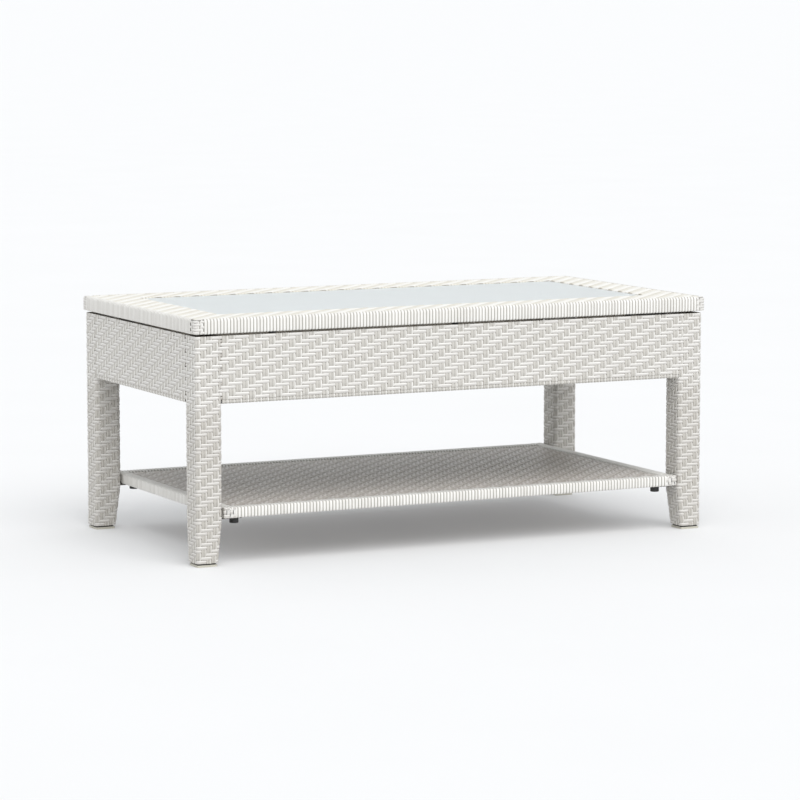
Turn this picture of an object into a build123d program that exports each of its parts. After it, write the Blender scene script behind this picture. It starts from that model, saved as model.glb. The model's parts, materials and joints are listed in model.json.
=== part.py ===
from build123d import *
import os

# A rectangular garden coffee table: plastic strand woven over an aluminium tube frame, a loose
# glass panel let into the lid, and a woven shelf between the legs.
# Origin: centre of the table on the floor. +X along the length, +Y to the back, +Z up. Millimetres.

# Overall sizes
lid_length = 1200.0
lid_depth = 620.0
table_height = 507.0

# Lid: a flat woven border round the glass
lid_thickness = 31.0
lid_border = 98.0
lid_skin = 3.0
lid_edge_radius = 6.0
lid_corner_radius = 8.0
lid_overhang = 4.25
lid_lip_height = 10.0
lid_corner_patch = 20.0
shadow_gap = 4.5
outer_rail_width = 25.0
inner_rail_width = 15.0
lid_rail_wall = 1.5
rib_width = 15.0
rib_places_long = (-400.0, -200.0, 0.0, 200.0, 400.0)
rib_places_short = (-100.0, 100.0)

# Glass panel and what it rests on
glass_thickness = 5.0
glass_clearance = 1.5
glass_below_border = 2.5
glass_corner_radius = 2.0
bumper_diameter = 10.0
bumper_thickness = 3.0
tab_length = 30.0
tab_reach = 15.0
tab_thickness = 2.0
tab_places_long = (-400.0, 0.0, 400.0)
tab_places_short = (-130.0, 130.0)

# Legs: square tube in a woven sleeve, whose two inner faces taper towards the foot
leg_width = 58.5
leg_taper = 9.0
leg_taper_top = 94.0
leg_corner_radius = 8.0
weave_thickness = 4.25
post_wall = 2.0

# Aprons: two tubes one above the other, with the weave stretched over them
apron_height = 139.0
apron_rail_size = 20.0
apron_rail_wall = 1.5
apron_edge_radius = 5.0

# Bolts that hold the lid on, through spacers that make the shadow gap
lid_bolt_radius = 3.0
lid_bolt_head_radius = 5.0
lid_bolt_head_height = 4.0
lid_bolt_grip = 11.0
bolt_clearance = 0.2
spacer_radius = 8.0
lid_bolt_places_long = (-420.0, 0.0, 420.0)

# Shelf
shelf_underside = 97.2
shelf_thickness = 22.6
shelf_skin = 2.3
shelf_end_gap = 3.75
shelf_rail_width = 20.0
shelf_rail_wall = 1.5
shelf_edge_radius = 4.0
shelf_corner_radius = 6.0
shelf_field_thickness = 3.0
shelf_field_drop = 2.3
cross_bar_width = 20.0
middle_cross_bar_places = (-250.0, 0.0, 250.0)

# Brackets that carry the shelf's corners, and their bolts and caps
bracket_thickness = 3.0
bracket_width = 34.0
bracket_past_bolt = 12.0
bracket_slot_clearance = 0.3
shelf_bolt_from_edge = 33.75
shelf_bolt_radius = 4.0
shelf_bolt_length = 16.0
shelf_bolt_head_radius = 6.5
shelf_bolt_head_height = 5.0
bolt_cap_radius = 9.5
bolt_cap_height = 11.5
bolt_cap_roof = 3.0

# Levelling feet
foot_plate_inset = 2.75     # from the leg's woven face at the foot
foot_plate_thickness = 4.5
foot_plate_radius = 3.0
plug_flange_inset = 5.75
plug_flange_thickness = 3.0
plug_depth = 20.0
plug_clearance = 0.3
stud_radius = 4.0
stud_length = 22.0
stud_clearance = 0.05

# Levels and extents that follow from the sizes above
lid_underside = table_height - lid_thickness
base_length = lid_length - 2 * lid_overhang
base_depth = lid_depth - 2 * lid_overhang
base_top = lid_underside - shadow_gap
apron_underside = base_top - apron_height
weave_foot = foot_plate_thickness + plug_flange_thickness
post_top = base_top - weave_thickness
post_width = leg_width - 2 * weave_thickness
post_inner_x = base_length / 2 - weave_thickness - post_width
post_inner_y = base_depth / 2 - weave_thickness - post_width
shelf_length = base_length - 2 * (leg_width + shelf_end_gap)
shelf_depth = base_depth
shelf_top = shelf_underside + shelf_thickness
shelf_band = shelf_rail_width + 2 * shelf_skin
shelf_field_top = shelf_top - shelf_field_drop
glass_top = table_height - glass_below_border
glass_underside = glass_top - glass_thickness
tab_top = glass_underside - bumper_thickness
tab_underside = tab_top - tab_thickness
foot_width = leg_width - leg_taper
foot_x = base_length / 2 - foot_width / 2
foot_y = base_depth / 2 - foot_width / 2

corner_signs = {
    "front_left": (-1, -1),
    "front_right": (1, -1),
    "back_left": (-1, 1),
    "back_right": (1, 1),
}


def block(x0, x1, y0, y1, z0, z1):
    """A box between two corners."""
    low_corner = (Align.MIN, Align.MIN, Align.MIN)
    return Pos(x0, y0, z0) * Box(x1 - x0, y1 - y0, z1 - z0, align=low_corner)


def disc(x, y, z0, z1, radius):
    """An upright cylinder between two levels."""
    return Pos(x, y, z0) * Cylinder(radius, z1 - z0, align=(Align.CENTER, Align.CENTER, Align.MIN))


def ring(length, depth, width, z0, z1, corner_radius):
    """A flat rectangular frame, its outer upright corners rounded."""
    outer = block(-length / 2, length / 2, -depth / 2, depth / 2, z0, z1)
    outer = fillet(outer.edges().filter_by(Axis.Z), corner_radius)
    inner_x = length / 2 - width
    inner_y = depth / 2 - width
    return outer - block(-inner_x, inner_x, -inner_y, inner_y, z0, z1)


def tube_ring(length, depth, width, z0, z1, wall, corner_radius):
    """A rectangular frame of hollow tube."""
    tube = ring(length, depth, width, z0, z1, corner_radius)
    bore_radius = corner_radius - wall
    bore = ring(length - 2 * wall, depth - 2 * wall, width - 2 * wall, z0 + wall, z1 - wall, bore_radius)
    return tube - bore


def mitred_sides(frame, length, depth):
    """The four sides of a frame, parted along the 45 degree lines through its corners."""
    x = length / 2
    y = depth / 2
    ridge = x - y
    outlines = {
        "front": [(-x, -y), (x, -y), (ridge, 0), (-ridge, 0)],
        "back": [(x, y), (-x, y), (-ridge, 0), (ridge, 0)],
        "left": [(-x, y), (-x, -y), (-ridge, 0)],
        "right": [(x, -y), (x, y), (ridge, 0)],
    }
    sides = {}
    for side, points in outlines.items():
        wedge = extrude(Polygon(*points, align=None), table_height)
        sides[side] = frame & wedge
    return sides


def in_corner(shape, corner):
    """A shape made in the back right corner, mirrored into a named corner."""
    x_sign, y_sign = corner_signs[corner]
    if x_sign < 0:
        shape = mirror(shape, about=Plane.YZ)
    if y_sign < 0:
        shape = mirror(shape, about=Plane.XZ)
    return shape


def all_corners(shape):
    return [in_corner(shape, corner) for corner in corner_signs]


def leg_prism(inset, z_top):
    """The leg's outer form moved in by an inset: straight above, two inner faces tapered below."""
    radius = leg_corner_radius - inset
    outer_x = base_length / 2 - inset
    outer_y = base_depth / 2 - inset
    top_width = leg_width - 2 * inset
    bottom_width = top_width - leg_taper

    def section(width, z):
        square = RectangleRounded(width, width, radius)
        return Pos(outer_x - width / 2, outer_y - width / 2, z) * square

    taper = loft([section(bottom_width, weave_foot), section(top_width, leg_taper_top)], ruled=True)
    straight = extrude(section(top_width, leg_taper_top), z_top - leg_taper_top)
    return taper + straight


def make_leg_post():
    return leg_prism(weave_thickness, post_top) - leg_prism(weave_thickness + post_wall, post_top)


def bracket_outline(clearance):
    """The bracket's plate, grown by a clearance for the slot that it passes through."""
    bolt_x, bolt_y = shelf_bolt_place()
    return block(
        bolt_x - bracket_past_bolt - clearance,
        post_inner_x,
        bolt_y - bracket_width / 2 - clearance,
        bolt_y + bracket_width / 2 + clearance,
        shelf_underside - bracket_thickness - clearance,
        shelf_underside + clearance,
    )


def make_leg_weave():
    """Sleeve on all four faces below the apron, on the two outer faces beside it."""
    sleeve = leg_prism(0, base_top) - leg_prism(weave_thickness, base_top)
    outer_x = base_length / 2 - weave_thickness
    outer_y = base_depth / 2 - weave_thickness
    beside_apron = block(0, outer_x, 0, outer_y, apron_underside, base_top)
    return sleeve - beside_apron - bracket_outline(bracket_slot_clearance)


def make_leg_plug():
    """Plastic plug in the tube's foot, with the threaded bore for the levelling stud."""
    flange_top = foot_plate_thickness + plug_flange_thickness
    half_flange = foot_width / 2 - plug_flange_inset
    half_body = (post_width - leg_taper) / 2 - post_wall - plug_clearance
    flange = block(
        foot_x - half_flange, foot_x + half_flange,
        foot_y - half_flange, foot_y + half_flange,
        foot_plate_thickness, flange_top,
    )
    body = block(
        foot_x - half_body, foot_x + half_body,
        foot_y - half_body, foot_y + half_body,
        flange_top, flange_top + plug_depth,
    )
    tube_corner = leg_corner_radius - weave_thickness - post_wall
    body = fillet(body.edges().filter_by(Axis.Z), tube_corner - plug_clearance)
    bore_radius = stud_radius + stud_clearance
    bore = disc(foot_x, foot_y, foot_plate_thickness, flange_top + plug_depth, bore_radius)
    return flange + body - bore


def make_leveller():
    """Square foot plate on its threaded stud."""
    half = foot_width / 2 - foot_plate_inset
    plate = block(foot_x - half, foot_x + half, foot_y - half, foot_y + half, 0, foot_plate_thickness)
    plate = fillet(plate.edges().filter_by(Axis.Z), foot_plate_radius)
    stud = disc(foot_x, foot_y, foot_plate_thickness, foot_plate_thickness + stud_length, stud_radius)
    return plate + stud


def shelf_bolt_place():
    """Plan position of the bolt under the shelf's back right corner, in the end cross bar."""
    return shelf_length / 2 - shelf_band - cross_bar_width / 2, shelf_depth / 2 - shelf_bolt_from_edge


def make_bracket():
    bolt_x, bolt_y = shelf_bolt_place()
    hole_radius = shelf_bolt_radius + bolt_clearance
    hole = disc(bolt_x, bolt_y, shelf_underside - bracket_thickness, shelf_underside, hole_radius)
    return bracket_outline(0) - hole


def make_shelf_bolt():
    bolt_x, bolt_y = shelf_bolt_place()
    seat = shelf_underside - bracket_thickness
    head = disc(bolt_x, bolt_y, seat - shelf_bolt_head_height, seat, shelf_bolt_head_radius)
    shank = disc(bolt_x, bolt_y, seat, seat + shelf_bolt_length, shelf_bolt_radius)
    return head + shank


def make_shelf_bolt_cap():
    """Round plastic cap over the bolt's head, against the bracket's underside."""
    bolt_x, bolt_y = shelf_bolt_place()
    rim = shelf_underside - bracket_thickness
    cap = disc(bolt_x, bolt_y, rim - bolt_cap_height, rim, bolt_cap_radius)
    cap = fillet(cap.edges().group_by(Axis.Z)[0], bolt_cap_roof / 2)
    hollow_radius = shelf_bolt_head_radius + bolt_clearance
    return cap - disc(bolt_x, bolt_y, rim - bolt_cap_height + bolt_cap_roof, rim, hollow_radius)


def apron_rail(length, inner_face, z0):
    """Square tube along X behind the back apron's weave, from post to post."""
    y0 = inner_face - apron_rail_size
    half = length / 2
    tube = block(-half, half, y0, inner_face, z0, z0 + apron_rail_size)
    wall = apron_rail_wall
    bore = block(
        -half, half, y0 + wall, inner_face - wall, z0 + wall, z0 + apron_rail_size - wall
    )
    return tube - bore


def apron_skin(length, outer_face):
    """Weave over the apron's outer face, turned in over the top tube and under the bottom tube."""
    half = length / 2
    inner_edge = outer_face - weave_thickness - apron_rail_size
    skin = block(-half, half, inner_edge, outer_face, apron_underside, base_top)
    outer_edges = skin.edges().filter_by(Axis.X).group_by(Axis.Y)[-1]
    skin = fillet(outer_edges, apron_edge_radius)
    inside = block(
        -half, half, inner_edge, outer_face - weave_thickness,
        apron_underside + weave_thickness, base_top - weave_thickness,
    )
    return skin - inside


def lid_bolt_places(side):
    """Plan positions of the lid's bolts in one side's top apron tube."""
    from_edge = weave_thickness + apron_rail_size / 2
    y = base_depth / 2 - from_edge
    x = base_length / 2 - from_edge
    places = {
        "front": [(place, -y) for place in lid_bolt_places_long],
        "back": [(place, y) for place in lid_bolt_places_long],
        "left": [(-x, 0)],
        "right": [(x, 0)],
    }
    return places[side]


def lid_bolt_hole(place, radius):
    return disc(*place, post_top - apron_rail_size, table_height - lid_skin - lid_rail_wall, radius)


def drilled_for_lid(shape, side):
    """A shape with the clearance holes of one side's lid bolts."""
    for place in lid_bolt_places(side):
        shape = shape - lid_bolt_hole(place, lid_bolt_radius + bolt_clearance)
    return shape


def make_lid_bolt(place):
    seat = post_top - apron_rail_size
    head = disc(*place, seat - lid_bolt_head_height, seat, lid_bolt_head_radius)
    shank = disc(*place, seat, lid_underside + lid_bolt_grip, lid_bolt_radius)
    return head + shank


def make_spacer(place):
    washer = disc(*place, base_top, lid_underside, spacer_radius)
    return washer - lid_bolt_hole(place, lid_bolt_radius + bolt_clearance)


def turned_sides(make_side, long_length, long_face, short_length, short_face):
    """Apron pieces on all four sides from one maker that draws the back one."""
    back = make_side(long_length, long_face)
    right = Rot(0, 0, -90) * make_side(short_length, short_face)
    return {
        "front": mirror(back, about=Plane.XZ),
        "back": back,
        "left": mirror(right, about=Plane.YZ),
        "right": right,
    }


def make_aprons():
    """Bottom tubes, top tubes and weave of the four aprons, by side."""
    long_tube = 2 * post_inner_x
    short_tube = 2 * post_inner_y
    long_tube_face = base_depth / 2 - weave_thickness
    short_tube_face = base_length / 2 - weave_thickness

    def bottom_tube(length, face):
        return apron_rail(length, face, apron_underside + weave_thickness)

    def top_tube(length, face):
        return apron_rail(length, face, post_top - apron_rail_size)

    tube_sizes = (long_tube, long_tube_face, short_tube, short_tube_face)
    long_skin = base_length - 2 * leg_width
    short_skin = base_depth - 2 * leg_width
    bottoms = turned_sides(bottom_tube, *tube_sizes)
    tops = turned_sides(top_tube, *tube_sizes)
    skins = turned_sides(apron_skin, long_skin, base_depth / 2, short_skin, base_length / 2)
    tops = {side: drilled_for_lid(tube, side) for side, tube in tops.items()}
    skins = {side: drilled_for_lid(skin, side) for side, skin in skins.items()}
    return bottoms, tops, skins


def inset_ring(inset, width, z0, z1, corner_radius):
    """A ring in the lid, its outer face a given distance in from the lid's outline."""
    return ring(lid_length - 2 * inset, lid_depth - 2 * inset, width, z0, z1, corner_radius)


def outline_edges(shape, lowest):
    """The outer edges of a shape's lowest or highest level face."""
    level_faces = shape.faces().filter_by(Axis.Z).sort_by(Axis.Z)
    face = level_faces[0] if lowest else level_faces[-1]
    return face.outer_wire().edges()


def lid_skin_ring():
    """The lid's weave: top, outer edge, a turn under the outer rail and a lip beside the glass."""
    corner = lid_corner_radius
    skin = inset_ring(0, lid_border, lid_underside, table_height, corner)
    skin = fillet(outline_edges(skin, lowest=False), lid_edge_radius)
    skin = fillet(outline_edges(skin, lowest=True), lid_skin)
    frame_space = inset_ring(
        lid_skin, lid_border - 2 * lid_skin, lid_underside + lid_skin, table_height - lid_skin,
        corner - lid_skin,
    )
    turn_under = lid_skin + outer_rail_width
    open_below = inset_ring(
        turn_under, lid_border - turn_under, lid_underside, lid_underside + lid_skin, lid_skin
    )
    below_lip = inset_ring(
        lid_border - lid_skin, lid_skin, lid_underside, table_height - lid_lip_height, lid_skin / 2
    )
    return skin - frame_space - open_below - below_lip


def corner_block():
    """The part of the lid's back right corner that has its own corner weave."""
    x = lid_length / 2
    y = lid_depth / 2
    return block(x - lid_corner_patch, x, y - lid_corner_patch, y, lid_underside, table_height)


def lid_weave_pieces():
    """Mitred border weave by side, and the four corner pieces."""
    skin = lid_skin_ring()
    border = skin
    for patch in all_corners(corner_block()):
        border = border - patch
    sides = mitred_sides(border, lid_length, lid_depth)
    sides = {side: drilled_for_lid(piece, side) for side, piece in sides.items()}
    corners = all_corners(skin & corner_block())
    return sides, corners


def lid_rails():
    """Outer and inner tubes of the lid's frame, by side."""
    low = lid_underside + lid_skin
    high = table_height - lid_skin
    outer_radius = lid_corner_radius - lid_skin
    outer_inset = lid_skin
    inner_inset = lid_border - lid_skin - inner_rail_width
    outer = tube_ring(
        lid_length - 2 * outer_inset, lid_depth - 2 * outer_inset, outer_rail_width,
        low, high, lid_rail_wall, outer_radius,
    )
    inner = tube_ring(
        lid_length - 2 * inner_inset, lid_depth - 2 * inner_inset, inner_rail_width,
        low, high, lid_rail_wall, 2 * lid_rail_wall,
    )
    outer_sides = mitred_sides(outer, lid_length, lid_depth)
    inner_sides = mitred_sides(inner, lid_length, lid_depth)
    outer_sides = {side: drilled_for_lid(rail, side) for side, rail in outer_sides.items()}
    return outer_sides, inner_sides


def lid_ribs():
    """Short tubes that join the lid's outer rails to its inner rails."""
    low = lid_underside + lid_skin
    high = table_height - lid_skin
    near = lid_skin + outer_rail_width
    far = lid_border - lid_skin - inner_rail_width
    half = rib_width / 2
    wall = lid_rail_wall

    def rib_along_y(x, y0, y1):
        tube = block(x - half, x + half, y0, y1, low, high)
        return tube - block(x - half + wall, x + half - wall, y0, y1, low + wall, high - wall)

    y = lid_depth / 2
    back = [rib_along_y(x, y - far, y - near) for x in rib_places_long]
    x = lid_length / 2
    right = [Rot(0, 0, -90) * rib_along_y(place, x - far, x - near) for place in rib_places_short]
    front = [mirror(rib, about=Plane.XZ) for rib in back]
    left = [mirror(rib, about=Plane.YZ) for rib in right]
    return back + right + front + left


def glass_tab_places():
    """Middle of each tab's root on the inner rails, with the direction that it points."""
    x = lid_length / 2 - lid_border + lid_skin
    y = lid_depth / 2 - lid_border + lid_skin
    places = []
    for place in tab_places_long:
        places.append((place, y, 0, -1))
        places.append((place, -y, 0, 1))
    for place in tab_places_short:
        places.append((x, place, -1, 0))
        places.append((-x, place, 1, 0))
    return places


def make_glass_tab(x, y, x_way, y_way):
    """Flat tab on an inner rail that carries one bumper."""
    middle_x = x + x_way * tab_reach / 2
    middle_y = y + y_way * tab_reach / 2
    half_x = tab_reach / 2 if x_way else tab_length / 2
    half_y = tab_reach / 2 if y_way else tab_length / 2
    return block(
        middle_x - half_x, middle_x + half_x, middle_y - half_y, middle_y + half_y,
        tab_underside, tab_top,
    )


def make_bumper(x, y, x_way, y_way):
    in_from_root = tab_reach - bumper_diameter / 2
    place = (x + x_way * in_from_root, y + y_way * in_from_root)
    return disc(*place, tab_top, glass_underside, bumper_diameter / 2)


def make_glass_panel():
    x = lid_length / 2 - lid_border - glass_clearance
    y = lid_depth / 2 - lid_border - glass_clearance
    panel = block(-x, x, -y, y, glass_underside, glass_top)
    panel = fillet(panel.edges().filter_by(Axis.Z), glass_corner_radius)
    return chamfer(panel.faces().sort_by(Axis.Z)[-1].edges(), glass_thickness / 10)


def shelf_cross_bars():
    """Tubes from front rail to back rail that carry the shelf's woven field."""
    end_place = shelf_length / 2 - shelf_band - cross_bar_width / 2
    half_y = shelf_depth / 2 - shelf_skin - shelf_rail_width
    top = shelf_field_top - shelf_field_thickness
    wall = shelf_rail_wall
    bars = []
    for place in (-end_place, *middle_cross_bar_places, end_place):
        x0 = place - cross_bar_width / 2
        x1 = place + cross_bar_width / 2
        tube = block(x0, x1, -half_y, half_y, shelf_underside, top)
        bore = block(x0 + wall, x1 - wall, -half_y, half_y, shelf_underside + wall, top - wall)
        bars.append(tube - bore)
    return bars


def drilled_for_shelf(bars):
    """Cross bars with the holes for the bracket bolts in their lower walls."""
    bolt_x, bolt_y = shelf_bolt_place()
    hole_radius = shelf_bolt_radius + bolt_clearance
    drill = disc(bolt_x, bolt_y, shelf_underside, shelf_underside + shelf_rail_wall, hole_radius)
    holes = all_corners(drill)
    for hole in holes:
        bars = [bar - hole for bar in bars]
    return bars


def shelf_frame_pieces():
    """Mitred shelf rails and the weave wrapped round them, by side."""
    rail_length = shelf_length - 2 * shelf_skin
    rail_depth = shelf_depth - 2 * shelf_skin
    low = shelf_underside + shelf_skin
    high = shelf_top - shelf_skin
    rail_radius = shelf_corner_radius - shelf_skin
    rails = tube_ring(
        rail_length, rail_depth, shelf_rail_width, low, high, shelf_rail_wall, rail_radius
    )
    wrap = ring(
        shelf_length, shelf_depth, shelf_band, shelf_underside, shelf_top, shelf_corner_radius
    )
    flat_faces = wrap.faces().filter_by(Axis.Z)
    rims = [wire for face in flat_faces for wire in face.wires()]
    wrap = fillet([edge for wire in rims for edge in wire.edges()], shelf_edge_radius)
    wrap = wrap - ring(rail_length, rail_depth, shelf_rail_width, low, high, rail_radius)
    for bar in shelf_cross_bars():
        size = bar.bounding_box()
        wrap = wrap - block(size.min.X, size.max.X, size.min.Y, size.max.Y, size.min.Z, size.max.Z)
    rail_sides = mitred_sides(rails, shelf_length, shelf_depth)
    wrap_sides = mitred_sides(wrap, shelf_length, shelf_depth)
    return rail_sides, wrap_sides


def make_shelf_field():
    """Woven sheet inside the shelf's frame, lying on the cross bars."""
    x = shelf_length / 2 - shelf_band
    y = shelf_depth / 2 - shelf_band
    return block(-x, x, -y, y, shelf_field_top - shelf_field_thickness, shelf_field_top)


def save(name, solids):
    """Write one named piece, or a group of like pieces, to its own file."""
    if isinstance(solids, list):
        shape = Compound(children=[solid.solid() for solid in solids])
    else:
        shape = solids.solid()
    shape.label = name
    export_step(shape, f"parts/{name}.step")


def save_sides(name, sides):
    for side, piece in sides.items():
        save(f"{name}_{side}", piece)


def save_corners(name, shape):
    for corner in corner_signs:
        save(f"{name}_{corner}", in_corner(shape, corner))


def build_legs():
    save_corners("leg_post", make_leg_post())
    save_corners("leg_weave", make_leg_weave())
    save("leg_end_plugs", all_corners(make_leg_plug()))
    save_corners("leveller", make_leveller())


def build_aprons():
    bottoms, tops, skins = make_aprons()
    save_sides("apron_bottom_rail", bottoms)
    save_sides("apron_top_rail", tops)
    save_sides("apron_weave", skins)


def build_lid():
    outer_rails, inner_rails = lid_rails()
    border, corners = lid_weave_pieces()
    bolt_places = [place for side in ("front", "back", "left", "right") for place in lid_bolt_places(side)]
    save_sides("lid_outer_rail", outer_rails)
    save_sides("lid_inner_rail", inner_rails)
    save("lid_ribs", lid_ribs())
    save_sides("lid_weave", border)
    save("lid_corner_weave", corners)
    save("lid_spacers", [make_spacer(place) for place in bolt_places])
    save("lid_bolts", [make_lid_bolt(place) for place in bolt_places])


def build_glass():
    save("glass_tabs", [make_glass_tab(*place) for place in glass_tab_places()])
    save("glass_bumpers", [make_bumper(*place) for place in glass_tab_places()])
    save("glass_panel", make_glass_panel())


def build_shelf():
    rails, wraps = shelf_frame_pieces()
    save_sides("shelf_rail", rails)
    save_sides("shelf_edge_weave", wraps)
    save("shelf_cross_bars", drilled_for_shelf(shelf_cross_bars()))
    save("shelf_weave_field", make_shelf_field())
    save_corners("shelf_bracket", make_bracket())
    save("shelf_bolts", all_corners(make_shelf_bolt()))
    save("shelf_bolt_caps", all_corners(make_shelf_bolt_cap()))


os.makedirs("parts", exist_ok=True)
build_legs()
build_aprons()
build_lid()
build_glass()
build_shelf()
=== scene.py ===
import bpy
import json
import math
from mathutils import Matrix, Vector


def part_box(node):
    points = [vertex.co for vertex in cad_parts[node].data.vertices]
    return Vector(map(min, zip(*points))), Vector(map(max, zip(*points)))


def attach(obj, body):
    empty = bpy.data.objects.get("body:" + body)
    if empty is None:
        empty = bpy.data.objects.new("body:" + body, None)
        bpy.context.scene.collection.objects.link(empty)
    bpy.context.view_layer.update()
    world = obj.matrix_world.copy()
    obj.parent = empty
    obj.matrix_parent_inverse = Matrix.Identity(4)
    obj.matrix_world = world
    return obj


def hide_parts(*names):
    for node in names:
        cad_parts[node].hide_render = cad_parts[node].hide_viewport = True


# A woven garden coffee table: the strand is laid piece by piece over the aluminium frame.
# Metres, +X along the table, +Y to its back, +Z up.

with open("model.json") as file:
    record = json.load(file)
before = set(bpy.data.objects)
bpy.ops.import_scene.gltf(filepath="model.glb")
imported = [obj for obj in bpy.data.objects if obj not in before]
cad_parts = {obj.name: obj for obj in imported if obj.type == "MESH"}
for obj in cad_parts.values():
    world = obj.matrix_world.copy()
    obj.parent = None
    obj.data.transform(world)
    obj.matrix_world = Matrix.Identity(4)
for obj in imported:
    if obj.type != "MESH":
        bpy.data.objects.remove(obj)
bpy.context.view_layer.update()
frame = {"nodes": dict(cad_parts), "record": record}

X = Vector((1, 0, 0))
Y = Vector((0, 1, 0))
Z = Vector((0, 0, 1))
MM = 0.001

# Strand
strand_thickness = 2.0 * MM
strand_cover = 0.96                # how much of its pitch a strand fills
crown = 0.25 * MM                  # how far a strand arches over those it crosses
under_drop = 1.04                  # depth of the under layer, in strand thicknesses

# Weave of the legs and aprons
row_pitch = 7.25 * MM              # level strands
apron_warp_pitch = 14.93 * MM      # upright strands, two side by side
leg_warps = 16                     # round one leg
side_twill = 2                     # strands passed over, then under
level_cover = 0.92
level_lean = 0.55 * MM             # how far a level strand climbs over its float
apron_overlap = 6.0 * MM           # of the apron's level strands over the legs' round corners
apron_edge_radius = 5.0 * MM
apron_tail = 14.0 * MM             # of a strand turned under the apron
leg_corner_radius = 8.0 * MM
leg_taper = 9.0 * MM               # how far each inner face is drawn in at the foot
leg_taper_top = 94.0 * MM

# Weave of the lid
lid_strands_long = 165             # across the lid's length
lid_strands_deep = 85              # across the lid's depth
lid_twill = 3                      # strands passed over, then under
lid_arch = 0.55 * MM
lid_border = 98.0 * MM
lid_corner_radius = 8.0 * MM
lid_edge_radius = 6.0 * MM
lid_bottom_radius = 3.0 * MM
lip_radius = 2.5 * MM              # where the border turns down beside the glass
lip_tail = 4.0 * MM
wrap_start = 2.0 * MM              # of an edge strand on the top, past the rounding
wrap_lift = 0.3 * MM               # of an edge strand's end above the lid's top
wrap_tail = 15.0 * MM              # of an edge strand turned under the lid
skipped_wraps = 3                  # places at each end of an edge that the corner covers

# Finer weave at the corners
corner_thickness = 1.4 * MM
corner_lift = 0.8 * MM             # of the lowest row above the bottom
lid_corner_rows = 6
lid_corner_uprights = 2
shelf_corner_rows = 3
shelf_corner_uprights = 3
shelf_corner_tail = 2.0 * MM

# Weave of the shelf
wrap_pitch = 7.35 * MM             # of the strand wound round the rails
shelf_edge_radius = 4.0 * MM
field_pitch = 9.4 * MM
field_band = 2                     # strands side by side that cross together
field_thickness = 1.5 * MM
field_cover = 0.86                 # leaves small holes between the bands
field_arch = 1.1 * MM


def node_box(*nodes):
    """Lowest and highest corner of some CAD nodes together."""
    boxes = [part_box(node) for node in nodes]
    low = Vector([min(box[0][axis] for box in boxes) for axis in range(3)])
    high = Vector([max(box[1][axis] for box in boxes) for axis in range(3)])
    return low, high


def side_nodes(name):
    return [f"{name}_{side}" for side in ("front", "back", "left", "right")]


# ---------------------------------------------------------------- hand modelling helpers


def start_piece(name):
    """An empty piece, open for editing."""
    bpy.ops.object.select_all(action="DESELECT")
    bpy.ops.object.add(type="MESH", enter_editmode=True, location=(0, 0, 0))
    piece = bpy.context.object
    piece.name = name
    piece.data.name = name
    return piece


def end_editing():
    bpy.ops.object.mode_set(mode="OBJECT")


def strand_section(middle, along, across, width, thickness):
    """A flat six-sided ring with its tips across the strand."""
    out = across.cross(along)
    turn = Matrix((out, across, along)).transposed().to_euler()
    bpy.ops.mesh.primitive_circle_add(
        vertices=6, radius=width / 2, fill_type="NOTHING", location=middle, rotation=turn
    )
    flatten = thickness / (width * math.cos(math.radians(30)))
    scale = [1 - abs(component) * (1 - flatten) for component in out]
    bpy.ops.transform.resize(value=scale, center_override=middle)


def draw_out(*steps, parts=1):
    """Extrudes the selected ring by one step after another, each in a number of equal parts."""
    for step in steps:
        for _ in range(parts):
            bpy.ops.mesh.extrude_region_move(TRANSFORM_OT_translate={"value": Vector(step) / parts})


def bend(centre, axis, degrees, steps):
    """Carries the selected rings round a corner, right-handed about the axis."""
    bpy.ops.mesh.spin(steps=steps, angle=-math.radians(degrees), center=centre, axis=axis)


def repeat(piece, offset, count, joined=False):
    """Copies a piece a number of times, a step apart."""
    bpy.ops.object.modifier_add(type="ARRAY")
    array = piece.modifiers[-1]
    array.use_relative_offset = False
    array.use_constant_offset = True
    array.constant_offset_displace = offset
    array.count = count
    array.use_merge_vertices = joined
    array.merge_threshold = 0.01 * MM
    bpy.ops.object.modifier_apply(modifier=array.name)


def cut_off(point, outward):
    """Cuts away what lies beyond a plane."""
    bpy.ops.object.mode_set(mode="EDIT")
    bpy.ops.mesh.select_all(action="SELECT")
    bpy.ops.mesh.bisect(plane_co=point, plane_no=outward, clear_outer=True)
    end_editing()


def close_ends(piece):
    """Closes cut strand ends and turns every face outwards."""
    only(piece)
    bpy.ops.object.mode_set(mode="EDIT")
    bpy.ops.mesh.select_all(action="SELECT")
    bpy.ops.mesh.fill_holes(sides=0)
    bpy.ops.mesh.select_all(action="SELECT")
    bpy.ops.mesh.normals_make_consistent(inside=False)
    end_editing()


def only(piece):
    """Makes one piece the selected and active one."""
    bpy.ops.object.select_all(action="DESELECT")
    piece.select_set(True)
    bpy.context.view_layer.objects.active = piece


def join(pieces, name):
    bpy.ops.object.select_all(action="DESELECT")
    for piece in pieces:
        piece.select_set(True)
    bpy.context.view_layer.objects.active = pieces[0]
    if len(pieces) > 1:
        bpy.ops.object.join()
    joined = bpy.context.object
    joined.name = name
    joined.data.name = name
    return joined


def copy_of(piece, name):
    only(piece)
    bpy.ops.object.duplicate()
    copy = bpy.context.object
    copy.name = name
    copy.data.name = name
    return copy


def place(piece, move=(0, 0, 0), turn=0.0, mirror=(1, 1, 1)):
    """Turns a piece about the upright axis, moves it, and leaves its object at the origin."""
    only(piece)
    piece.scale = mirror
    piece.rotation_euler = (0, 0, math.radians(turn))
    piece.location = move
    bpy.ops.object.transform_apply(location=True, rotation=True, scale=True)
    if mirror != (1, 1, 1):
        bpy.ops.object.mode_set(mode="EDIT")
        bpy.ops.mesh.select_all(action="SELECT")
        bpy.ops.mesh.normals_make_consistent(inside=False)
        end_editing()


def soften(piece, degrees=75):
    only(piece)
    bpy.ops.object.shade_smooth_by_angle(angle=math.radians(degrees))


# ---------------------------------------------------------------- weaving


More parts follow.
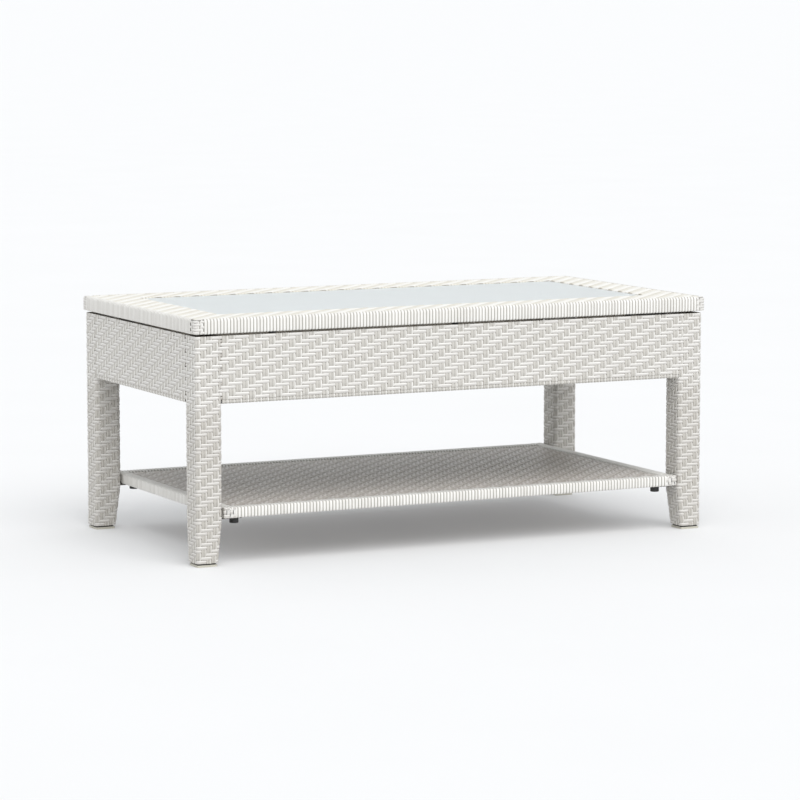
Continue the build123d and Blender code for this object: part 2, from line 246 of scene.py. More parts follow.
def mark_strands(piece, across, first, pitch, out=Z * 0, surface=0.0, depth=1.0, together=1):
    """Notes at each point which strand it is on, where across it, and how deep in the weave.

    Strands that lie together in a group are measured across as one.
    """
    numbers, sides, depths = [], [], []
    for vertex in piece.data.vertices:
        distance = vertex.co.dot(across) - first
        position = distance / (pitch * together)
        numbers.append(math.floor(distance / pitch))
        sides.append(2 * (position - math.floor(position)) - 1)
        depths.append((surface - vertex.co.dot(out)) / depth)
    for name, values in (("strand", numbers), ("side", sides), ("sunk", depths)):
        note = piece.data.attributes.new(name, "FLOAT", "POINT")
        note.data.foreach_set("value", values)


def weave_strands(name, along, across, out, corner, pitch, count, cross_pitch, floats, over_from,
                  start, end, thickness=strand_thickness, paired=False, parts=1, lean=0.0,
                  cover=strand_cover, arch=crown, banded=False):
    """A layer of parallel strands that pass over and under a crossing layer.

    corner is where the layer's grid begins, on its outer surface. The first strand lies on top
    from over_from, counted in crossings, and each next one starts a crossing later. The strands
    are cut at start and end, measured along them from the corner. Each float climbs by lean.
    In a banded layer the strands cross in bands as wide as a float is long.
    """
    period = 2 * floats * cross_pitch
    own_pitch = pitch / 2 if paired else pitch
    high = -thickness / 2
    drop = thickness * under_drop
    begin = ((over_from + 0.25) % (2 * floats)) * cross_pitch - 2 * period
    middle = corner + along * begin + across * (own_pitch / 2 - lean / 2) + out * (high - arch)
    piece = start_piece(name)
    strand_section(middle, along, across, own_pitch * cover, thickness)
    half_float = (floats / 2 - 0.25) * cross_pitch
    crossing = 0.5 * cross_pitch
    climb = across * (lean / 2)
    draw_out(
        along * half_float + out * arch + climb,
        along * half_float - out * arch + climb,
        along * crossing - out * (drop - arch) - climb,
        along * (2 * half_float),
        along * crossing + out * (drop - arch) - climb,
        parts=parts,
    )
    end_editing()
    repeat(piece, along * period, math.ceil(end / period) + 4, joined=True)
    if paired:
        repeat(piece, across * own_pitch, 2)
    stagger = 2 * floats
    if banded:
        repeat(piece, across * pitch, floats)
        repeat(piece, across * (pitch * floats) + along * (cross_pitch * floats), 2)
    else:
        repeat(piece, across * pitch + along * cross_pitch, stagger)
    repeat(piece, across * (pitch * stagger), math.ceil(count / stagger))
    if count % stagger:
        cut_off(corner + across * (pitch * count), across)
    cut_off(corner + along * start, -along)
    cut_off(corner + along * end, along)
    first = corner.dot(across)
    together = 2 if paired else 1
    mark_strands(piece, across, first, own_pitch, out, corner.dot(out), 2 * thickness, together)
    return piece


def turn_ends(piece, point, outward, centre, axis, degrees, tail, steps=3):
    """Carries the open strand ends that lie in a plane round an edge and on by a tail."""
    only(piece)
    bpy.ops.object.mode_set(mode="EDIT")
    bpy.ops.mesh.select_mode(type="EDGE")
    bpy.ops.mesh.select_all(action="DESELECT")
    end_editing()
    reach = 0.02 * MM
    vertices = piece.data.vertices
    for edge in piece.data.edges:
        first, last = (vertices[index].co for index in edge.vertices)
        offsets = (abs((end - point).dot(outward)) for end in (first, last))
        edge.select = max(offsets) < reach
    bpy.ops.object.mode_set(mode="EDIT")
    bend(centre, axis, degrees, steps)
    draw_out(tail)
    end_editing()


# ---------------------------------------------------------------- legs


def rounded_square_path(side, radius):
    """A closed curve round the middle of the leg's weave."""
    bpy.ops.object.select_all(action="DESELECT")
    bpy.ops.mesh.primitive_plane_add(size=side, location=(0, 0, 0), enter_editmode=True)
    bpy.ops.mesh.select_all(action="SELECT")
    bpy.ops.mesh.bevel(offset=radius, segments=6, affect="VERTICES")
    bpy.ops.mesh.delete(type="ONLY_FACE")
    end_editing()
    bpy.ops.object.convert(target="CURVE")
    return bpy.context.object


def wrap_round(piece, path):
    only(piece)
    bpy.ops.object.modifier_add(type="CURVE")
    piece.modifiers[-1].object = path
    piece.modifiers[-1].deform_axis = "POS_X"
    bpy.ops.object.modifier_apply(modifier=piece.modifiers[-1].name)
    only(path)
    bpy.ops.object.delete()


def taper_foot(piece, width, foot_z, taper_top, taper):
    """Draws the two inner faces, towards +X and +Y, in at the foot."""
    bpy.ops.object.select_all(action="DESELECT")
    bpy.ops.object.add(type="LATTICE", location=(0, 0, (foot_z + taper_top) / 2))
    cage = bpy.context.object
    cage.scale = (width, width, taper_top - foot_z)
    cage.data.points_u = 2
    cage.data.points_v = 2
    cage.data.points_w = 2
    cage.data.interpolation_type_u = "KEY_LINEAR"
    cage.data.interpolation_type_v = "KEY_LINEAR"
    cage.data.interpolation_type_w = "KEY_LINEAR"
    for point in cage.data.points:
        if point.co.z < 0:
            point.co_deform.x -= taper / width if point.co.x > 0 else 0
            point.co_deform.y -= taper / width if point.co.y > 0 else 0
    only(piece)
    bpy.ops.object.modifier_add(type="LATTICE")
    piece.modifiers[-1].object = cage
    bpy.ops.object.modifier_apply(modifier=piece.modifiers[-1].name)
    only(cage)
    bpy.ops.object.delete()


def make_leg_weave():
    """One leg's sleeve, made about the origin as the front left leg."""
    low, high = node_box("leg_weave_front_left")
    width = high.x - low.x
    depth = strand_thickness
    side = width - 2 * depth
    radius = leg_corner_radius - depth
    length = 4 * (side - 2 * radius) + 2 * math.pi * radius
    pitch = length / leg_warps
    rows = round((high.z - low.z) / row_pitch)
    corner = Vector((0, -depth, low.z))
    level = weave_strands(
        "leg_level", X, Z, -Y, corner, row_pitch, rows, pitch, side_twill, 0, 0, length, parts=2,
        lean=level_lean, cover=level_cover,
    )
    upright = weave_strands(
        "leg_upright", Z, X, -Y, corner, pitch, leg_warps, row_pitch, side_twill, 1,
        0, high.z - low.z, paired=True,
    )
    give(level, paints["level_strand"])
    give(upright, paints["upright_strand"])
    sleeve = join([level, upright], "leg_weave_strands")
    wrap_round(sleeve, rounded_square_path(side, radius))
    only(sleeve)
    bpy.ops.object.mode_set(mode="EDIT")
    bpy.ops.mesh.select_all(action="SELECT")
    bpy.ops.mesh.remove_doubles(threshold=0.02 * MM)
    end_editing()
    taper_foot(sleeve, width, low.z, leg_taper_top, leg_taper)
    close_ends(sleeve)
    soften(sleeve)
    return sleeve


def place_legs():
    sleeve = make_leg_weave()
    turns = {"front_left": 0, "front_right": 90, "back_right": 180, "back_left": 270}
    for corner, turn in turns.items():
        low, high = node_box(f"leg_weave_{corner}")
        middle = (low + high) / 2
        leg = copy_of(sleeve, f"leg_strands_{corner}")
        place(leg, move=(middle.x, middle.y, 0), turn=turn)
        finish_piece(leg, "table", "wicker", f"leg_weave_{corner}")
    only(sleeve)
    bpy.ops.object.delete()


# ---------------------------------------------------------------- aprons


def make_apron_hem(name, length, face, bottom, top, pitch):
    """Upright strands brought out below the lowest level strand and turned under the apron."""
    hem = start_piece(name)
    depth = strand_thickness
    radius = apron_edge_radius
    x = -length / 2 + pitch / 4
    width = pitch / 2 * strand_cover
    strand_section(Vector((x, -face + 1.5 * depth, top + row_pitch)), -Z, X, width, depth)
    draw_out(-Z * row_pitch)
    draw_out(-Z * (top - bottom - radius) - Y * depth)
    bend(Vector((x, -face + radius, bottom + radius)), X, 90, 4)
    draw_out(Y * apron_tail)
    end_editing()
    repeat(hem, X * (pitch / 2), round(length / pitch) * 2)
    mark_strands(hem, X, -length / 2, pitch / 2, together=2)
    return hem


def make_apron_weave(name, length, face):
    """One apron's weave as on the front of the table, its face at a distance from the middle."""
    low, high = node_box("apron_weave_front")
    rows = math.floor((high.z - low.z) / row_pitch) - 1
    columns = round(length / apron_warp_pitch)
    pitch = length / columns
    height = rows * row_pitch
    corner = Vector((-length / 2, -face, high.z - height))
    level = weave_strands(
        name + "_level", X, Z, -Y, corner, row_pitch, rows, pitch, side_twill, 1,
        -apron_overlap, length + apron_overlap, lean=level_lean, cover=level_cover,
    )
    upright = weave_strands(
        name + "_upright", Z, X, -Y, corner, pitch, columns, row_pitch, side_twill, 0,
        0, height, paired=True,
    )
    hem = make_apron_hem(name + "_hem", length, face, low.z, corner.z, pitch)
    give(level, paints["level_strand"])
    give(upright, paints["upright_strand"])
    give(hem, paints["upright_strand"])
    weave = join([level, upright, hem], name)
    close_ends(weave)
    soften(weave)
    return weave


def place_aprons():
    low, high = node_box("apron_weave_front")
    front = make_apron_weave("apron_strands_front", high.x - low.x, -low.y)
    back = copy_of(front, "apron_strands_back")
    place(back, turn=180)
    low, high = node_box("apron_weave_right")
    right = make_apron_weave("apron_strands_right", high.y - low.y, high.x)
    left = copy_of(right, "apron_strands_left")
    place(right, turn=90)
    place(left, turn=-90)
    for side, weave in (("front", front), ("back", back), ("left", left), ("right", right)):
        finish_piece(weave, "table", "wicker", f"apron_weave_{side}")


# ---------------------------------------------------------------- lid


def make_lid_half():
    """The front and left borders of the lid's top. Turned half round, it is the other two."""
    low, high = node_box(*side_nodes("lid_weave"), "lid_corner_weave")
    length = high.x - low.x
    depth = high.y - low.y
    column = length / lid_strands_long
    row = depth / lid_strands_deep
    border_columns = math.floor(lid_border / column)
    border_rows = math.floor(lid_border / row)
    grid = Vector((low.x, low.y, high.z))
    edge = lid_edge_radius
    inner_end = lid_border - lip_radius

    def along_x(name, first_row, count, first, last):
        corner = grid + Y * (row * first_row)
        return weave_strands(
            name, X, Y, Z, corner, row, count, column, lid_twill, first_row, first, last,
            arch=lid_arch,
        )

    def along_y(name, first_column, count, first, last):
        corner = grid + X * (column * first_column)
        return weave_strands(
            name, Y, X, Z, corner, column, count, row, lid_twill, 1 + first_column, first, last,
            arch=lid_arch,
        )

    long_x = along_x("lid_long_x", 1, border_rows - 1, edge, length - edge)
    long_y = along_y("lid_long_y", 1, border_columns - 1, edge, depth - edge)
    short_x = along_x(
        "lid_short_x", border_rows, lid_strands_deep - 2 * border_rows, edge, inner_end
    )
    short_y = along_y(
        "lid_short_y", border_columns, lid_strands_long - 2 * border_columns, edge, inner_end
    )
    lip_x = Vector((low.x + inner_end, 0, high.z - lip_radius - strand_thickness / 2))
    lip_y = Vector((0, low.y + inner_end, high.z - lip_radius - strand_thickness / 2))
    turn_ends(short_x, lip_x, X, lip_x, Y, 90, -Z * lip_tail, steps=2)
    turn_ends(short_y, lip_y, Y, lip_y, X, -90, -Z * lip_tail, steps=2)
    for layer in (long_x, short_x):
        give(layer, paints["lid_strand_x"])
    for layer in (long_y, short_y):
        give(layer, paints["lid_strand_y"])
    half = join([long_x, long_y, short_x, short_y], "lid_strands_front_left")
    close_ends(half)
    soften(half)
    return half


def lay_over_edge(x, face, top, bottom, top_radius, bottom_radius, inset, tail, width, thickness):
    """One strand as on the front: from the top over the edge, down, and under."""
    start = Vector((x, face + inset, top - thickness / 2))
    strand_section(start, -Y, X, width, thickness)
    draw_out(-Y * (inset - top_radius))
    bend(Vector((x, face + top_radius, top - top_radius)), X, 90, 4)
    draw_out(-Z * (top - bottom - top_radius - bottom_radius))
    bend(Vector((x, face + bottom_radius, bottom + bottom_radius)), X, 90, 3)
    draw_out(Y * tail)
    end_editing()


def make_edge_wraps(name, length, face, pitch):
    """Upright strands over the lid's edge, as on the front, one to each strand of the top."""
    low, high = node_box(*side_nodes("lid_weave"))
    first = -length / 2 + (skipped_wraps + 0.5) * pitch
    wraps = start_piece(name)
    lay_over_edge(
        first, -face, high.z + wrap_lift, low.z, lid_edge_radius, lid_bottom_radius,
        lid_edge_radius + wrap_start, wrap_tail, pitch * strand_cover, strand_thickness,
    )
    repeat(wraps, X * pitch, round(length / pitch) - 2 * skipped_wraps)
    mark_strands(wraps, X, -length / 2, pitch)
    give(wraps, paints["edge_wrap"])
    close_ends(wraps)
    soften(wraps)
    return wraps


def corner_level_strand(name, start, across, out, width, cell, uprights, radius, over_first):
    """One level strand of a corner: along the front, round the corner, along the side.

    It passes over and under the uprights by turns. start is where it begins on its outer side.
    """
    flat = cell * 0.6
    slope = cell - flat
    down = out * (-2 * corner_thickness)
    middle = start - out * (corner_thickness / 2)
    if not over_first:
        middle = middle + down
    strand = start_piece(name)
    strand_section(middle, -X, across, width, corner_thickness)
    for upright in range(uprights):
        over = (upright % 2 == 0) == over_first
        last = upright == uprights - 1
        change = -X * slope
        if over and not last:
            change = change + down
        if not over:
            change = change - down
        draw_out(-X * flat, change)
    bend(Vector((radius, radius, 0)), Z, -90, 5)
    sideways = X * down.y + Z * down.z
    over = True
    for upright in range(uprights):
        change = Y * slope
        goes_over = (upright % 2 == 0) != over_first
        if over and not goes_over:
            change = change + sideways
        if not over and goes_over:
            change = change - sideways
        over = goes_over
        draw_out(change, Y * flat)
    end_editing()
    return strand


def corner_level_strands(name, size, radius, top, bottom, top_radius, rows, uprights):
    """The level strands of a corner, from its bottom up the wall and over the rounded top edge."""
    foot = bottom + corner_lift
    wall = top - foot - top_radius
    pitch = (wall + top_radius * math.pi / 2) / rows
    cell = (size - radius) / uprights
    strands = []
    for number in range(rows):
        distance = (number + 0.5) * pitch
        angle = max(distance - wall, 0) / top_radius
        out = -Y * math.cos(angle) + Z * math.sin(angle)
        across = Z * math.cos(angle) + Y * math.sin(angle)
        z = foot + min(distance, wall) + top_radius * math.sin(angle)
        start = Vector((size, top_radius * (1 - math.cos(angle)), z))
        strand = corner_level_strand(
            f"{name}_row_{number}", start, across, out, pitch * level_cover, cell, uprights, radius,
            over_first=number % 2 == 0,
        )
        mark_strands(strand, Z, z - pitch / 2, pitch)
        give(strand, paints["level_strand"])
        strands.append(strand)
    return strands


def corner_uprights(name, size, radius, top, bottom, edges, uprights, inset, tail):
    """The upright strands of a corner, on its front and on its side."""
    width = (size - radius * 0.5) / uprights
    front = start_piece(name + "_uprights")
    lay_over_edge(
        size - width / 2, corner_thickness, top - corner_thickness, bottom, *edges,
        inset, tail, width * strand_cover, corner_thickness,
    )
    repeat(front, -X * width, uprights)
    mark_strands(front, X, size - uprights * width, width)
    give(front, paints["edge_wrap"])
    side = copy_of(front, name + "_uprights_side")
    place(side, turn=90, mirror=(1, -1, 1))
    return [front, side]


def make_corner(name, size, radius, top, bottom, edges, rows, uprights, inset, tail):
    """Small plain weave round a front left corner, made with the corner at the origin.

    edges holds the rounding radius of the top edge and of the bottom edge.
    """
    levels = corner_level_strands(name, size, radius, top, bottom, edges[0], rows, uprights)
    both = corner_uprights(name, size, radius, top, bottom, edges, uprights, inset, tail)
    corner = join(levels + both, name)
    close_ends(corner)
    soften(corner)
    return corner


def place_corners(master, name, low, high, nodes):
    """Copies a front left corner to the four corners of a box."""
    places = {
        "front_left": (low.x, low.y, 0),
        "front_right": (high.x, low.y, 90),
        "back_right": (high.x, high.y, 180),
        "back_left": (low.x, high.y, 270),
    }
    for corner, (x, y, turn) in places.items():
        piece = copy_of(master, f"{name}_{corner}")
        place(piece, move=(x, y, 0), turn=turn)
        finish_piece(piece, "table", "wicker", *(nodes if corner == "front_left" else []))
    only(master)
    bpy.ops.object.delete()


def place_lid():
    half = make_lid_half()
    other = copy_of(half, "lid_strands_back_right")
    place(other, turn=180)
    finish_piece(half, "table", "wicker", "lid_weave_front", "lid_weave_left")
    finish_piece(other, "table", "wicker", "lid_weave_back", "lid_weave_right")
    low, high = node_box(*side_nodes("lid_weave"), "lid_corner_weave")
    length = high.x - low.x
    depth = high.y - low.y
    front = make_edge_wraps("lid_edge_front", length, -low.y, length / lid_strands_long)
    back = copy_of(front, "lid_edge_back")
    place(back, turn=180)
    right = make_edge_wraps("lid_edge_right", depth, high.x, depth / lid_strands_deep)
    left = copy_of(right, "lid_edge_left")
    place(right, turn=90)
    place(left, turn=-90)
    for edge in (front, back, left, right):
        finish_piece(edge, "table", "wicker")


def place_lid_corners():
    low, high = node_box("lid_corner_weave")
    size = skipped_wraps * (high.x - low.x) / lid_strands_long
    master = make_corner(
        "lid_corner", size, lid_corner_radius, high.z, low.z, (lid_edge_radius, lid_bottom_radius),
        lid_corner_rows, lid_corner_uprights, lid_edge_radius + wrap_start, wrap_tail,
    )
    place_corners(master, "lid_corner", low, high, ["lid_corner_weave"])


# ---------------------------------------------------------------- shelf


def make_shelf_wraps(name, length, face):
    """Strand wound round one shelf rail, as on the front."""
    low, high = node_box("shelf_edge_weave_front")
    half = strand_thickness / 2
    radius = shelf_edge_radius
    band = high.y - low.y
    height = high.z - low.z
    count = round(length / wrap_pitch)
    pitch = length / count
    first = (1 - count) / 2 * pitch
    near = -face + radius
    far = -face + band - radius
    start = Vector((first, far, high.z - half))
    wraps = start_piece(name)
    strand_section(start, -Y, X, pitch * strand_cover, strand_thickness)
    draw_out(-Y * (band - 2 * radius))
    bend(Vector((first, near, high.z - radius)), X, 90, 3)
    draw_out(-Z * (height - 2 * radius))
    bend(Vector((first, near, low.z + radius)), X, 90, 3)
    draw_out(Y * (band - 2 * radius))
    bend(Vector((first, far, low.z + radius)), X, 90, 2)
    draw_out(Z * (height - 2 * radius))
    bend(Vector((first, far, high.z - radius)), X, 90, 2)
    bpy.ops.mesh.select_all(action="SELECT")
    bpy.ops.mesh.remove_doubles(threshold=0.01 * MM)
    end_editing()
    repeat(wraps, X * pitch, count)
    mark_strands(wraps, X, -length / 2, pitch)
    give(wraps, paints["shelf_wrap"])
    close_ends(wraps)
    soften(wraps)
    return wraps


def place_shelf_field():
    """Pairs of strands over and under pairs, between the shelf's rails."""
    low, high = node_box("shelf_weave_field")
    size = high - low
    columns = round(size.x / field_pitch)
    rows = round(size.y / field_pitch)
    column = size.x / columns
    row = size.y / rows
    corner = Vector((low.x, low.y, high.z))
    long_strands = weave_strands(
        "shelf_field_long", X, Y, Z, corner, row, rows, column, field_band, 0,
        0, size.x, field_thickness, cover=field_cover, arch=field_arch, banded=True,
    )
    cross_strands = weave_strands(
        "shelf_field_cross", Y, X, Z, corner, column, columns, row, field_band, field_band,
        0, size.y, field_thickness, cover=field_cover, arch=field_arch, banded=True,
    )
    for layer, paint in ((long_strands, "shelf_strand_x"), (cross_strands, "shelf_strand_y")):
        close_ends(layer)
        soften(layer)
        give(layer, paints[paint])
    finish_piece(long_strands, "table", "wicker", "shelf_weave_field")
    finish_piece(cross_strands, "table", "wicker")


def place_shelf_edges():
    low, high = node_box("shelf_edge_weave_front")
    band = high.y - low.y
    low, high = node_box(*side_nodes("shelf_edge_weave"))
    front = make_shelf_wraps("shelf_wraps_front", high.x - low.x, -low.y)
    back = copy_of(front, "shelf_wraps_back")
    place(back, turn=180)
    right = make_shelf_wraps("shelf_wraps_right", high.y - low.y - 2 * band, high.x)
    left = copy_of(right, "shelf_wraps_left")
    place(right, turn=90)
    place(left, turn=-90)
    for side, wraps in (("front", front), ("back", back), ("left", left), ("right", right)):
        finish_piece(wraps, "table", "wicker", f"shelf_edge_weave_{side}")
    lift = Vector((corner_thickness, corner_thickness, 0))
    master = make_corner(
        "shelf_corner", band + corner_thickness, shelf_edge_radius, high.z, low.z,
        (shelf_edge_radius, shelf_edge_radius), shelf_corner_rows, shelf_corner_uprights,
        shelf_edge_radius, shelf_corner_tail,
    )
    place_corners(master, "shelf_corner", low - lift, high + lift, [])


# ---------------------------------------------------------------- materials


paints = {}


class Value:
    """A number that varies over a surface. Arithmetic on it adds Math nodes."""

    def __init__(self, paint, socket):
        self.paint = paint
        self.socket = socket

    def _sum(self, operation, first, second):
        return self.paint.node("ShaderNodeMath", {"operation": operation}, {0: first, 1: second})

    def __add__(self, other):
        return self._sum("ADD", self, other)

    def __radd__(self, other):
        return self._sum("ADD", other, self)

    def __sub__(self, other):
        return self._sum("SUBTRACT", self, other)

    def __rsub__(self, other):
        return self._sum("SUBTRACT", other, self)

    def __mul__(self, other):
        return self._sum("MULTIPLY", self, other)

    def __rmul__(self, other):
        return self._sum("MULTIPLY", other, self)

    def limited(self, low=0.0, high=1.0):
        bounded = self._sum("MAXIMUM", self, low)
        return self._sum("MINIMUM", bounded, high)

    def size(self):
        return self._sum("ABSOLUTE", self, 0.0)


class Paint:
    """One finish: a material with its nodes, kept in paints under its name."""

    def __init__(self, name, **constants):
        self.material = bpy.data.materials.new(name)
        paints[name] = self.material
        self.material.use_nodes = True
        self.tree = self.material.node_tree
        self.shader = self.tree.nodes["Principled BSDF"]
        for socket, value in constants.items():
            self.shader.inputs[socket.replace("_", " ")].default_value = value

    def node(self, kind, settings=None, inputs=None, output=0):
        made = self.tree.nodes.new(kind)
        for setting, value in (settings or {}).items():
            setattr(made, setting, value)
        for socket, value in (inputs or {}).items():
            self.put(made.inputs[socket], value)
        return Value(self, made.outputs[output])

    def put(self, socket, value):
        if isinstance(value, Value):
            self.tree.links.new(value.socket, socket)
        else:
            socket.default_value = value

    def place(self, stretch):
        """Object coordinates, stretched."""
        spot = self.node("ShaderNodeTexCoord", output="Object")
        return self.node("ShaderNodeMapping", {}, {"Vector": spot, "Scale": stretch})

    def note(self, name):
        return self.node("ShaderNodeAttribute", {"attribute_name": name}, output="Fac")

    def noise(self, spot, scale, detail=2.0):
        return self.node("ShaderNodeTexNoise", {}, {"Vector": spot, "Scale": scale, "Detail": detail})

    def random(self, number, seed):
        settings = {"noise_dimensions": "1D"}
        return self.node("ShaderNodeTexWhiteNoise", settings, {"W": number + seed})

    def mix(self, share, first, second):
        settings = {"data_type": "RGBA"}
        return self.node("ShaderNodeMix", settings, {0: share, 6: first, 7: second}, output=2)

    def finish(self, **linked):
        for socket, value in linked.items():
            self.put(self.shader.inputs[socket.replace("_", " ")], value)


def below_apron(paint):
    """1 on what lies below the apron, 0 above."""
    underside = node_box("apron_weave_front")[0].z
    spot = paint.node("ShaderNodeTexCoord", output="Object")
    height = paint.node("ShaderNodeSeparateXYZ", {}, {"Vector": spot}, output="Z")
    return ((underside - height) * 30.0).limited()


def strand_paint(name, pale, dark, stretch, bright_at=0.0, bright_half=0.45, edge=2.2,
                 streak=0.4, seed=0.0, painted_low_shade=0.0, roughness=0.5):
    """Whitewashed plastic strand: painted highlight, greyer sides painted as shade, fine lines along
    it, brown painted shade.

    bright_at is where the painted highlight lies across the strand, from -1 to 1. painted_low_shade is
    how far the strand is darkened by painted shade below the apron, where less light reaches.
    """
    paint = Paint(name, Specular_IOR_Level=0.35)
    grain = paint.noise(paint.place(stretch), 1.0, 3.0)
    patches = paint.noise(paint.place((12.0, 12.0, 12.0)), 1.0, 2.0)
    tone = paint.random(paint.note("strand"), seed)
    # Painted highlight: pale on a band across the strand at bright_at; the sides away from it are
    # painted greyer as shade.
    painted_side_shade = (((paint.note("side") - bright_at).size() - bright_half) * edge).limited()
    lines = ((grain - 0.5) * 2.4 + 0.3).limited()
    share = (painted_side_shade + lines * streak + (tone - 0.5) * 0.25 + (patches - 0.5) * 0.35).limited()
    colour = paint.mix(share, pale, dark)
    # Painted shade: brown where the strand sinks under its neighbours, and along its edges where
    # strands meet.
    painted_hollow_shade = ((paint.note("sunk") - 0.36) * 2.2).limited(0.0, 0.75)
    painted_edge_shade = ((paint.note("side").size() - 0.84) * 5.0).limited(0.0, 0.5)
    colour = paint.mix((painted_hollow_shade + painted_edge_shade).limited(0.0, 0.8), colour, painted_shade_colour)
    # Painted shade: strands below the apron, on the legs, are darkened where less light reaches.
    if painted_low_shade:
        colour = paint.mix(below_apron(paint) * painted_low_shade, colour, painted_shade_colour)
    rough = ((grain - 0.5) * 0.2 + roughness).limited()
    bump = paint.node("ShaderNodeBump", {}, {"Height": grain, "Strength": 0.25, "Distance": 0.0004})
    paint.finish(Base_Color=colour, Roughness=rough, Normal=bump)


def speckled_paint(name, colour, other, grain_size, roughness, metallic=0.0, strength=0.15):
    """Plain finish with a fine grain: powder coat, moulded plastic or zinc."""
    paint = Paint(name, Metallic=metallic)
    grain = paint.noise(paint.place((1.0, 1.0, 1.0)), 1.0 / grain_size, 3.0)
    broad = paint.noise(paint.place((1.0, 1.0, 1.0)), 20.0, 2.0)
    share = (grain * 0.6 + broad * 0.4).limited()
    shade = paint.mix(share, colour, other)
    rough = (roughness + (broad - 0.5) * 0.2).limited()
    bump = paint.node("ShaderNodeBump", {}, {"Height": grain, "Strength": strength, "Distance": 0.0002})
    paint.finish(Base_Color=shade, Roughness=rough, Normal=bump)


def glass_paint():
    """Pale frosted glass with a faint pebbled surface."""
    paint = Paint("glass", IOR=1.5, Transmission_Weight=0.35)
    pebble = paint.noise(paint.place((1.0, 1.0, 1.0)), 160.0, 2.0)
    cloud = paint.noise(paint.place((1.0, 1.0, 1.0)), 6.0, 2.0)
    colour = paint.mix(cloud, glass_dark, glass_pale)
    rough = (0.32 + (cloud - 0.5) * 0.1).limited()
    bump = paint.node("ShaderNodeBump", {}, {"Height": pebble, "Strength": 0.015, "Distance": 0.0004})
    paint.finish(Base_Color=colour, Roughness=rough, Normal=bump)


# Colours, each finish's darker and paler one
# strand_white is also the painted highlight on the strands; strand_body and strand_grey are their
# sides, painted greyer as shade.
strand_white = (0.88, 0.87, 0.84, 1)
strand_body = (0.66, 0.64, 0.61, 1)
strand_grey = (0.57, 0.55, 0.51, 1)
strand_ivory = (0.82, 0.80, 0.74, 1)
strand_cream = (0.66, 0.62, 0.52, 1)
# shelf_body and strand_taupe paint the shelf field darker than the other strands: painted shade under
# the top.
shelf_body = (0.66, 0.63, 0.60, 1)
strand_taupe = (0.48, 0.43, 0.38, 1)
# Brown of the painted shade in the weave's hollows, at strand edges and below the apron.
painted_shade_colour = (0.26, 0.22, 0.17, 1)
frame_dark = (0.07, 0.065, 0.06, 1)
frame_pale = (0.12, 0.11, 0.10, 1)
black_dark = (0.02, 0.02, 0.02, 1)
black_pale = (0.045, 0.045, 0.045, 1)
grey_dark = (0.50, 0.48, 0.41, 1)
grey_pale = (0.62, 0.60, 0.52, 1)
steel_dark = (0.45, 0.45, 0.44, 1)
steel_pale = (0.60, 0.60, 0.58, 1)
silicone_dark = (0.62, 0.65, 0.65, 1)
silicone_pale = (0.72, 0.75, 0.75, 1)
glass_dark = (0.92, 0.97, 0.97, 1)
glass_pale = (0.95, 0.99, 0.99, 1)
floor_dark = (0.70, 0.70, 0.70, 1)
floor_pale = (0.72, 0.72, 0.72, 1)


def make_strand_paints():
    """The paints of the strands, by where they lie. Each has its grain along the strand."""
    level = (25.0, 25.0, 1100.0)
    upright = (900.0, 900.0, 25.0)
    wound = (600.0, 600.0, 60.0)
    flat_x = (25.0, 1100.0, 400.0)
    flat_y = (1100.0, 25.0, 400.0)
    # Each strand paint carries a painted highlight across the strand and painted shade on its sides.
    strand_paint(
        "level_strand", strand_white, strand_body, level,
        bright_at=0.52, bright_half=0.10, edge=3.4, painted_low_shade=0.16,
    )
    strand_paint(
        "upright_strand", strand_white, strand_grey, upright,
        bright_at=0.80, bright_half=0.10, edge=5.0, painted_low_shade=0.16, seed=40.0,
    )
    strand_paint(
        "lid_strand_x", strand_white, strand_cream, flat_x, bright_half=0.75, edge=1.2, seed=80.0
    )
    strand_paint(
        "lid_strand_y", strand_ivory, strand_cream, flat_y, bright_half=0.3, edge=1.6, seed=120.0
    )
    strand_paint(
        "edge_wrap", strand_white, strand_grey, upright, bright_half=0.38, edge=2.2, seed=160.0
    )
    strand_paint(
        "shelf_wrap", strand_white, strand_grey, wound, bright_half=0.38, edge=2.2, seed=200.0
    )
    # The shelf field is painted darker than the other strands, as shade under the top.
    strand_paint(
        "shelf_strand_x", shelf_body, strand_taupe, flat_x,
        bright_half=0.2, edge=1.8, seed=240.0, roughness=0.3,
    )
    strand_paint(
        "shelf_strand_y", shelf_body, strand_taupe, flat_y,
        bright_half=0.3, edge=1.5, seed=280.0, roughness=0.3,
    )


def make_slot_paints():
    """The paints of the frame's own parts, named as their slots in the record."""
    speckled_paint("frame", frame_dark, frame_pale, 0.002, 0.55)
    speckled_paint("black_plastic", black_dark, black_pale, 0.003, 0.6)
    speckled_paint("grey_plastic", grey_dark, grey_pale, 0.003, 0.5)
    speckled_paint("steel", steel_dark, steel_pale, 0.004, 0.35, metallic=1.0)
    speckled_paint("silicone", silicone_dark, silicone_pale, 0.004, 0.3)
    glass_paint()


def give(piece, material):
    piece.data.materials.clear()
    piece.data.materials.append(material)


def finish_piece(piece, body, slot, *nodes):
    """Names what a finished piece moves with and hides the nodes it stands for; slot is not used."""
    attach(piece, body)
    if nodes:
        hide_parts(*nodes)


def paint_cad_nodes():
    slots = {part["node"]: part["material_slot"] for part in frame["record"]["subparts"]}
    for node, piece in frame["nodes"].items():
        slot = slots[node]
        material = paints["level_strand" if slot == "wicker" else slot]
        for material_slot in piece.material_slots:
            material_slot.material = material


# ---------------------------------------------------------------- setting


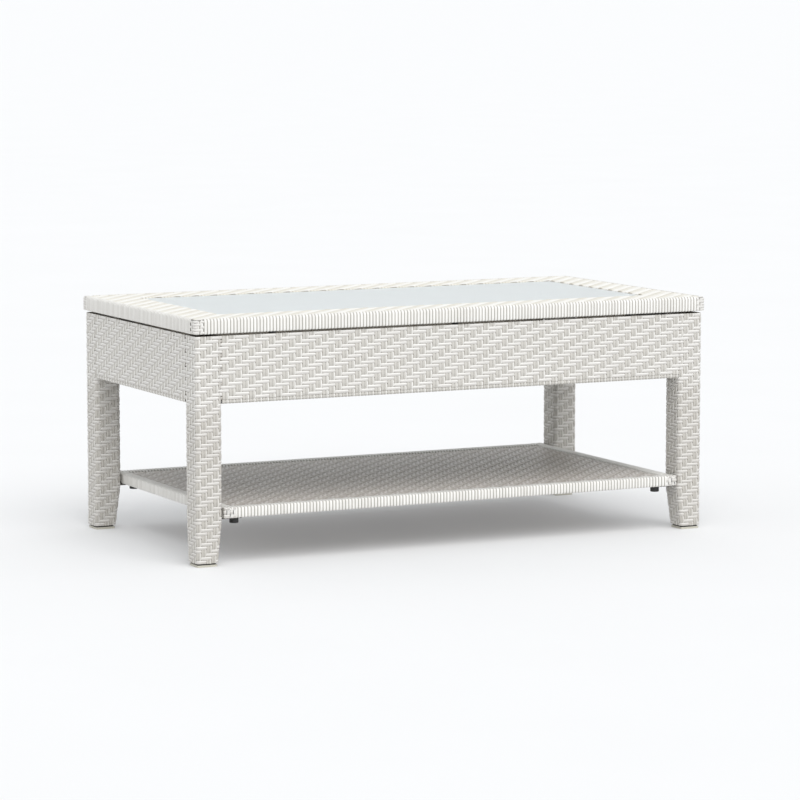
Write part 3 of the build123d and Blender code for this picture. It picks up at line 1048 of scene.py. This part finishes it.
def make_floor():
    bpy.ops.object.select_all(action="DESELECT")
    bpy.ops.mesh.primitive_plane_add(size=1200, location=(0, 0, 0))
    floor = bpy.context.object
    floor.name = "floor"
    # The floor glows a little: painted light that lifts the table's shadow on it and lights the table
    # from below.
    glow = {"Emission_Color": (0.95, 0.97, 1.0, 1), "Emission_Strength": 0.16}
    paint = Paint("pale_floor", Roughness=0.9, **glow)
    cloud = paint.noise(paint.place((1.0, 1.0, 1.0)), 2.0)
    paint.finish(Base_Color=paint.mix(cloud, floor_dark, floor_pale))
    give(floor, paints["pale_floor"])


def set_sky():
    """Even light from all round. Where nothing stands, the camera sees it as pale as the floor."""
    world = bpy.data.worlds.new("studio")
    bpy.context.scene.world = world
    world.use_nodes = True
    nodes = world.node_tree.nodes
    links = world.node_tree.links
    sky = nodes["Background"]
    sky.inputs["Color"].default_value = (0.97, 0.985, 1.0, 1)
    sky.inputs["Strength"].default_value = 0.75
    backdrop = nodes.new("ShaderNodeBackground")
    backdrop.inputs["Color"].default_value = (0.965, 0.982, 0.991, 1)
    ray = nodes.new("ShaderNodeLightPath")
    either = nodes.new("ShaderNodeMixShader")
    links.new(ray.outputs["Is Camera Ray"], either.inputs[0])
    links.new(sky.outputs[0], either.inputs[1])
    links.new(backdrop.outputs[0], either.inputs[2])
    links.new(either.outputs[0], nodes["World Output"].inputs["Surface"])


def set_sun():
    """One broad soft light from above and in front."""
    bpy.ops.object.select_all(action="DESELECT")
    bpy.ops.object.light_add(type="SUN", location=(-1, -3, 4))
    sun = bpy.context.object
    sun.name = "soft_sun"
    sun.data.energy = 1.7
    sun.data.angle = math.radians(50)
    sun.rotation_euler = Vector((0.08, 0.80, -1.0)).to_track_quat("-Z", "Y").to_euler()


def set_camera():
    bpy.ops.object.camera_add(location=(-3.306, -6.689, 1.166))
    camera = bpy.context.object
    looking = Vector((0.4417, 0.8894, -0.1179))
    camera.rotation_euler = looking.to_track_quat("-Z", "Y").to_euler()
    camera.data.lens = 155.5
    camera.data.sensor_width = 36
    bpy.context.scene.camera = camera
    bpy.context.scene.view_settings.view_transform = "Standard"


make_strand_paints()
make_slot_paints()
set_camera()
set_sky()
set_sun()
make_floor()
paint_cad_nodes()
place_legs()
place_aprons()
place_lid()
place_lid_corners()
place_shelf_field()
place_shelf_edges()
